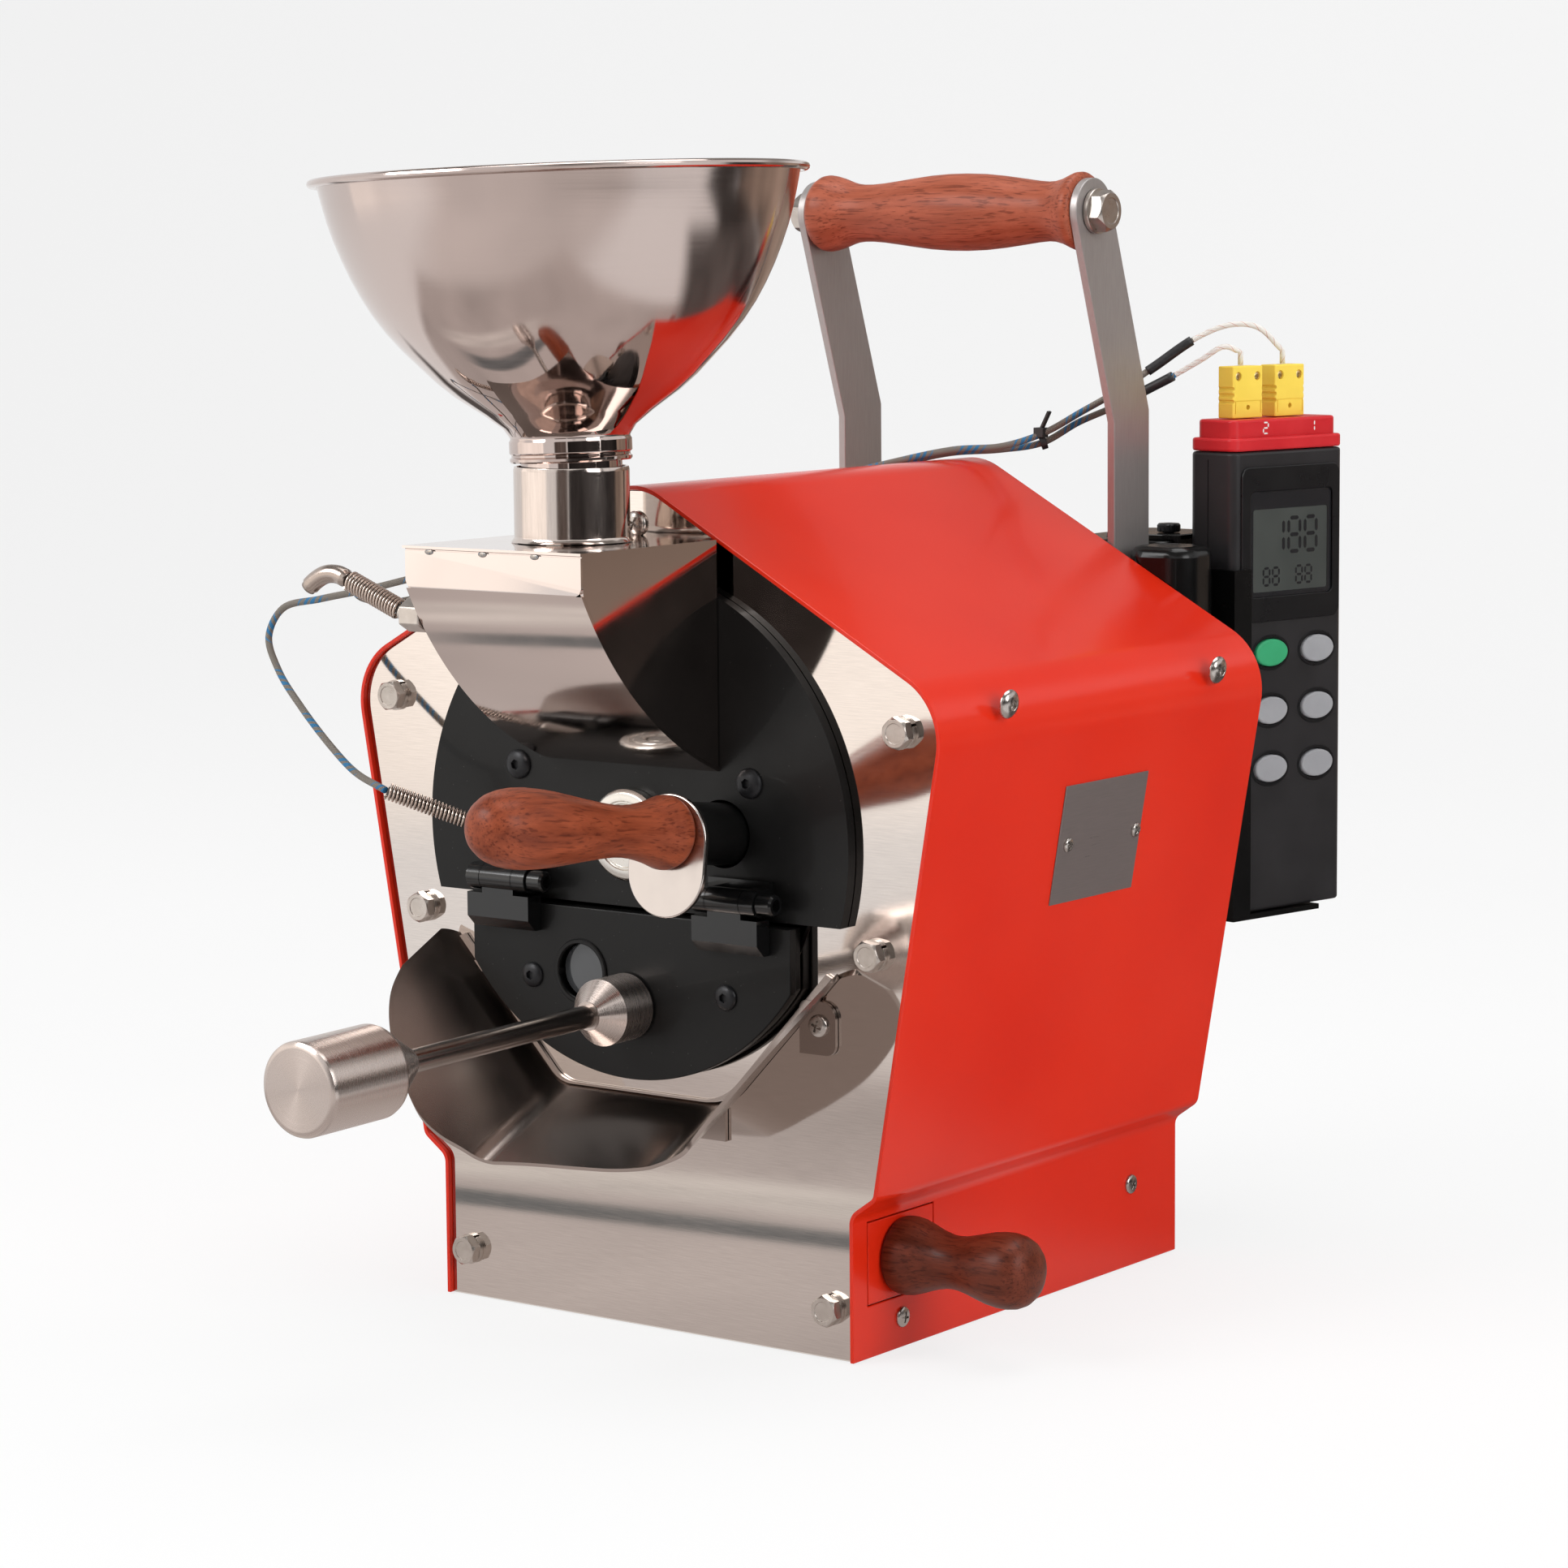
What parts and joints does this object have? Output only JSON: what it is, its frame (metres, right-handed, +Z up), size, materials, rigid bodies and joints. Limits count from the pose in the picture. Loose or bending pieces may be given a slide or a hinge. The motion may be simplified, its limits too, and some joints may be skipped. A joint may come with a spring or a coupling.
{
  "type": "coffee bean roaster",
  "caption": "Countertop drum roaster for coffee beans with funnel, hopper, sampling scoop, weighted discharge door, chute, chaff drawer, carrying handle and side thermometer.",
  "frame": {"origin": "bottom front edge of the base, midway between the sides: X = 0 is the drum axis plane, Y = 0 the front plate's face, Z = 0 the surface it stands on", "axes": "+X to the right seen from the front, +Y to the rear along the drum axis, +Z up"},
  "size_m": [0.3046, 0.489, 0.417],
  "materials": {
    "red_paint": "gloss",
    "bright_steel": "polished",
    "grey_steel": "brushed",
    "dark_iron": "matte",
    "black_paint": "satin",
    "black_plastic": "matte",
    "red_plastic": "gloss",
    "yellow_plastic": "gloss",
    "grey_rubber": "matte",
    "green_rubber": "matte",
    "wood": "oiled",
    "glass": "clear",
    "braid": "braided"
  },
  "bodies": {
    "housing": {"front_plate": "bright_steel", "rear_plate": "bright_steel", "cover": "red_paint", "base_frame": "grey_steel", "face_disc": "black_paint", "front_bearing": "bright_steel", "rear_bearing": "bright_steel", "hopper_box": "bright_steel", "inlet_tube": "bright_steel", "trier_tube": "black_paint", "hinge_bracket_left": "black_paint", "hinge_bracket_right": "black_paint", "chute": "bright_steel", "strap_left": "grey_steel", "strap_right": "grey_steel", "grip": "wood", "grip_bolt": "bright_steel", "gear_guard": "black_paint", "motor_box": "black_paint", "motor": "grey_steel", "control_box": "black_paint", "switch_panel": "black_plastic", "meter_bracket": "black_paint", "meter_holster": "black_plastic", "meter_body": "black_plastic", "meter_cap": "red_plastic", "plug_near": "yellow_plastic", "plug_far": "yellow_plastic", "drawer_runner": "grey_steel", "upper_probe": "bright_steel", "upper_spring": "grey_steel", "upper_sleeve": "grey_steel", "lower_probe": "bright_steel", "lower_spring": "grey_steel", "lead_lower": "braid", "lead_upper": "braid"},
    "drum": {"drum_shell": "dark_iron", "drum_shaft": "grey_steel", "drive_gear": "grey_steel"},
    "pinion": {"motor_pinion": "grey_steel"},
    "door": {"door_plate": "black_paint", "door_leaf_left": "black_paint", "door_leaf_right": "black_paint", "sight_glass": "glass", "lever_rod": "grey_steel", "lever_weight": "grey_steel"},
    "trier": {"trier_flange": "bright_steel"},
    "scoop": {"trier_handle": "wood", "trier_scoop": "grey_steel"},
    "drawer": {"drawer_tray": "red_paint", "drawer_knob": "wood"},
    "funnel": {"funnel": "bright_steel"},
    "rocker": {"rocker": "black_plastic"},
    "clamp_screw": {"clamp_screw": "black_plastic"},
    "button_power": {"button_power": "green_rubber"},
    "button_range": {"button_range": "grey_rubber"},
    "button_time": {"button_time": "grey_rubber"},
    "button_hold": {"button_hold": "grey_rubber"},
    "button_record": {"button_record": "grey_rubber"},
    "button_unit": {"button_unit": "grey_rubber"}
  },
  "joints": [
    {"name": "drum_turn", "type": "hinge", "parent": "housing", "child": "drum", "pos_m": [0, 0.1, 0.18], "axis": [0, 1, 0], "continuous": true},
    {"name": "pinion_turn", "type": "hinge", "parent": "housing", "child": "pinion", "pos_m": [0.04239, 0.22, 0.19216], "axis": [0, 1, 0], "continuous": true},
    {"name": "door_swing", "type": "hinge", "parent": "housing", "child": "door", "pos_m": [0, -0.0128, 0.161], "axis": [-1, 0, 0], "range_deg": [0, 65]},
    {"name": "trier_slide", "type": "slide", "parent": "housing", "child": "trier", "axis": [0, -0.9914, 0.1305], "range_m": [0, 0.1]},
    {"name": "scoop_turn", "type": "hinge", "parent": "trier", "child": "scoop", "pos_m": [0.04, -0.0045, 0.183], "axis": [0, -0.9914, 0.1305], "continuous": true},
    {"name": "drawer_slide", "type": "slide", "parent": "housing", "child": "drawer", "axis": [1, 0, 0], "range_m": [0, 0.12]},
    {"name": "funnel_lift", "type": "slide", "parent": "housing", "child": "funnel", "axis": [-0.0384, 0, 0.9993], "range_m": [0, 0.06]},
    {"name": "rocker_tilt", "type": "hinge", "parent": "housing", "child": "rocker", "pos_m": [0.0585, 0.2895, 0.172], "axis": [1, 0, 0], "range_deg": [0, 14]},
    {"name": "clamp_turn", "type": "hinge", "parent": "housing", "child": "clamp_screw", "pos_m": [0.062, 0.256, 0.276], "axis": [0, 0, 1], "continuous": true},
    {"name": "power_press", "type": "slide", "parent": "housing", "child": "button_power", "axis": [-0.9816, 0.1908, 0], "range_m": [0, 0.0009], "stiffness_N_per_m": 400, "springref_m": -0.001},
    {"name": "range_press", "type": "slide", "parent": "housing", "child": "button_range", "axis": [-0.9816, 0.1908, 0], "range_m": [0, 0.0009], "stiffness_N_per_m": 400, "springref_m": -0.001},
    {"name": "time_press", "type": "slide", "parent": "housing", "child": "button_time", "axis": [-0.9816, 0.1908, 0], "range_m": [0, 0.0009], "stiffness_N_per_m": 400, "springref_m": -0.001},
    {"name": "hold_press", "type": "slide", "parent": "housing", "child": "button_hold", "axis": [-0.9816, 0.1908, 0], "range_m": [0, 0.0009], "stiffness_N_per_m": 400, "springref_m": -0.001},
    {"name": "record_press", "type": "slide", "parent": "housing", "child": "button_record", "axis": [-0.9816, 0.1908, 0], "range_m": [0, 0.0009], "stiffness_N_per_m": 400, "springref_m": -0.001},
    {"name": "unit_press", "type": "slide", "parent": "housing", "child": "button_unit", "axis": [-0.9816, 0.1908, 0], "range_m": [0, 0.0009], "stiffness_N_per_m": 400, "springref_m": -0.001}
  ],
  "couplings": [
    {"joint": "pinion_turn", "follows": "drum_turn", "ratio": -2.5}
  ]
}
